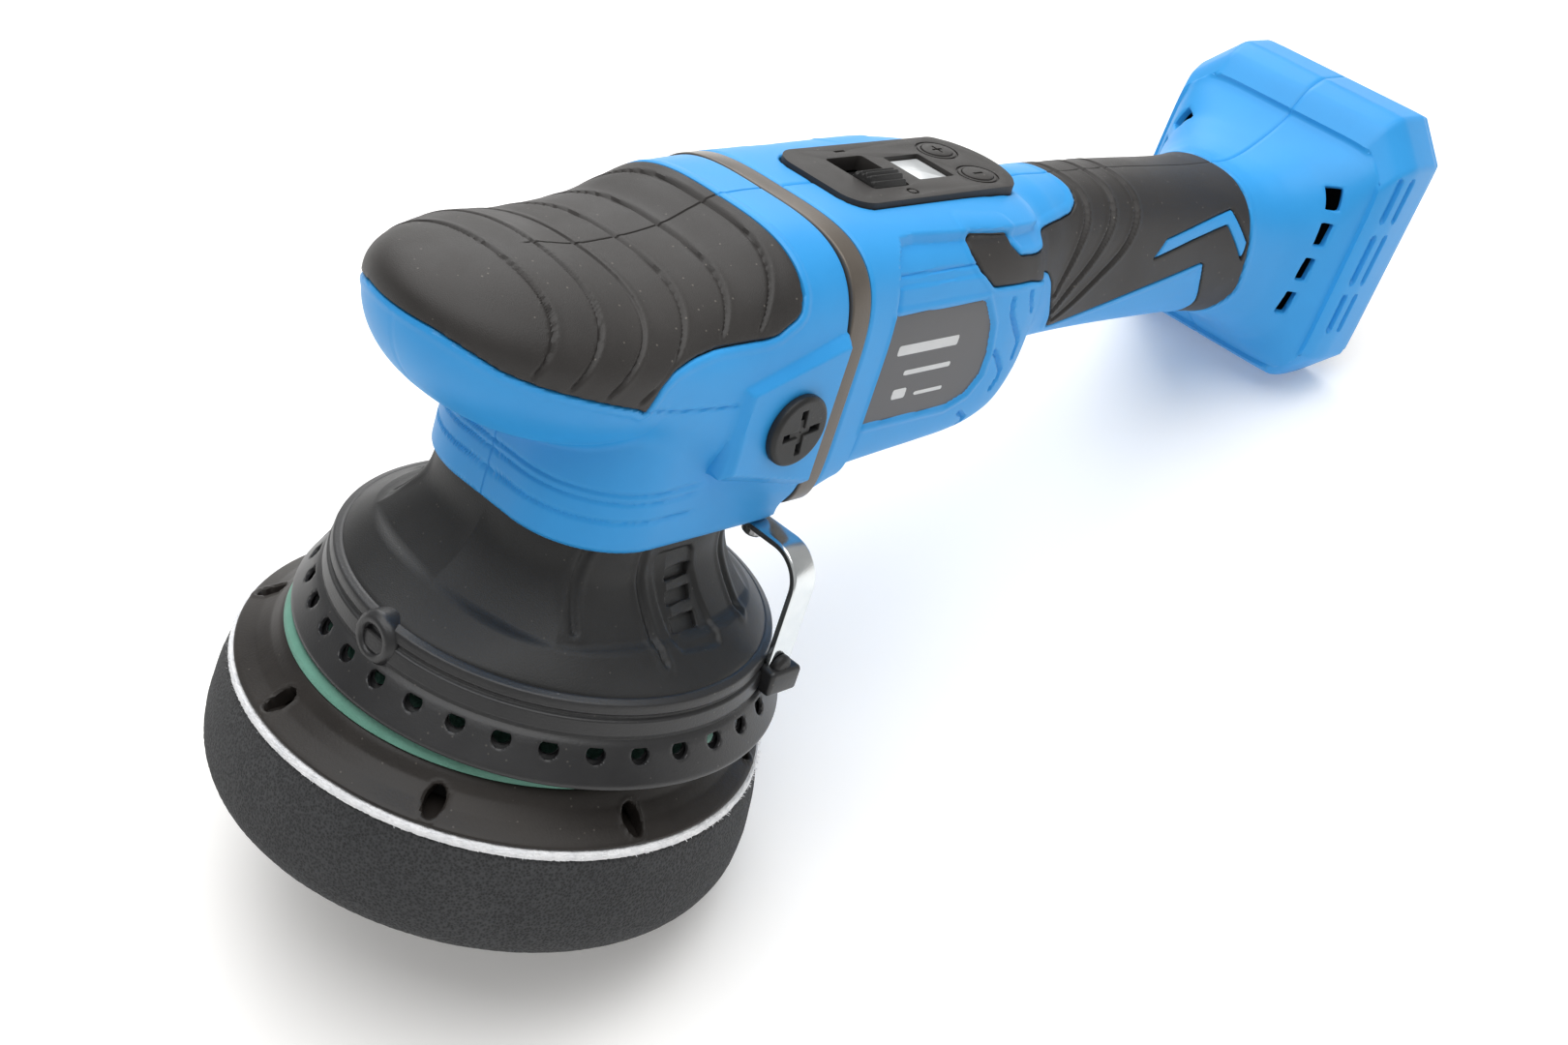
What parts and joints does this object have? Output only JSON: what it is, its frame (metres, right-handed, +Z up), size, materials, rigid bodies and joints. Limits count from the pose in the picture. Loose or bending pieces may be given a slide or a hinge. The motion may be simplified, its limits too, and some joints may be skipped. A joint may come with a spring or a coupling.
{
  "type": "dual action polisher",
  "caption": "Cordless dual action polisher with a foam pad on an eccentric spindle, a gripped head, a slim handle and an open slide-on battery base, lying tipped back on its pad.",
  "frame": {"origin": "centre of the bounding box at the floor the tool lies on", "axes": "+Z up, +X from the pad and head towards the battery base, which leans down with the tool; +Y to the tool's right"},
  "size_m": [0.4734, 0.156, 0.2128],
  "materials": {
    "aluminium": "cast and machined",
    "black_plastic": "moulded, fine texture",
    "black_rubber": "soft-touch overmould",
    "blue_plastic": "satin moulded plastic",
    "board": "circuit board",
    "copper": "copper winding and contacts",
    "felt": "hook and loop felt",
    "foam": "open-cell polishing foam",
    "label": "plain dark plate",
    "lens": "pale display window",
    "steel": "machined steel",
    "strap_grey": "satin strap",
    "teal_foam": "closed-cell cushion layer",
    "zinc": "bright zinc plating"
  },
  "bodies": {
    "casing": {"battery_plate": "black_plastic", "battery_rail_left": "black_plastic", "battery_rail_right": "black_plastic", "bearing_plate_upper": "aluminium", "body_shell_left": "blue_plastic", "body_shell_right": "blue_plastic", "bracket": "zinc", "bracket_foot_screw": "black_plastic", "bracket_top_screw": "steel", "capacitor": "aluminium", "control_panel": "black_rubber", "controller_board": "board", "display_board": "board", "display_lens": "lens", "front_bearing": "steel", "front_bearing_plate": "aluminium", "gear_housing": "black_plastic", "gearbox_base": "aluminium", "handle_grip": "black_rubber", "head_grip": "black_rubber", "head_shell_left": "blue_plastic", "head_shell_right": "blue_plastic", "heat_sink": "aluminium", "nameplate_left": "label", "nameplate_right": "label", "rear_bearing": "steel", "rear_bearing_plate": "black_plastic", "shroud": "black_rubber", "side_plug_left": "black_plastic", "side_plug_right": "black_plastic", "spindle_bearing_lower": "steel", "spindle_bearing_upper": "steel", "stator": "steel", "strap_band": "strap_grey", "switch_body": "black_plastic", "terminal_1": "copper", "terminal_2": "copper", "terminal_3": "copper", "terminal_block": "black_plastic", "winding_front": "copper", "winding_rear": "copper"},
    "spindle": {"spindle": "steel", "bevel_gear": "steel", "counterweight": "steel", "pad_bearing": "steel"},
    "pad": {"foam_pad": "foam", "loop_felt": "felt", "backing_plate": "black_rubber", "cushion_layer": "teal_foam", "pad_hub": "steel", "pad_screw": "steel"},
    "rotor": {"motor_shaft": "steel", "pinion": "steel", "rotor_core": "steel", "fan": "black_plastic"},
    "power_slider": {"power_slider": "black_plastic"},
    "plus_button": {"plus_button": "black_rubber"},
    "minus_button": {"minus_button": "black_rubber"}
  },
  "joints": [
    {"name": "spindle_spin", "type": "hinge", "parent": "casing", "child": "spindle", "pos_m": [-0.14975, -0.00421, 0.05425], "axis": [0.3618, 0, 0.9323], "continuous": true},
    {"name": "pad_spin", "type": "hinge", "parent": "spindle", "child": "pad", "pos_m": [-0.15497, 0, 0.05627], "axis": [0.3618, 0, 0.9323], "continuous": true},
    {"name": "rotor_spin", "type": "hinge", "parent": "casing", "child": "rotor", "pos_m": [-0.10923, -0.00421, 0.15866], "axis": [0.9323, 0, -0.3618], "continuous": true},
    {"name": "power_slide", "type": "slide", "parent": "casing", "child": "power_slider", "axis": [0, 1, 0], "range_m": [0, 0.008]},
    {"name": "plus_button_press", "type": "slide", "parent": "casing", "child": "plus_button", "axis": [-0.3618, 0, -0.9323], "range_m": [0, 0.001], "stiffness_N_per_m": 1500, "springref_m": -0.0005},
    {"name": "minus_button_press", "type": "slide", "parent": "casing", "child": "minus_button", "axis": [-0.3618, 0, -0.9323], "range_m": [0, 0.001], "stiffness_N_per_m": 1500, "springref_m": -0.0005}
  ],
  "couplings": [
    {"joint": "rotor_spin", "follows": "spindle_spin", "ratio": 3}
  ]
}
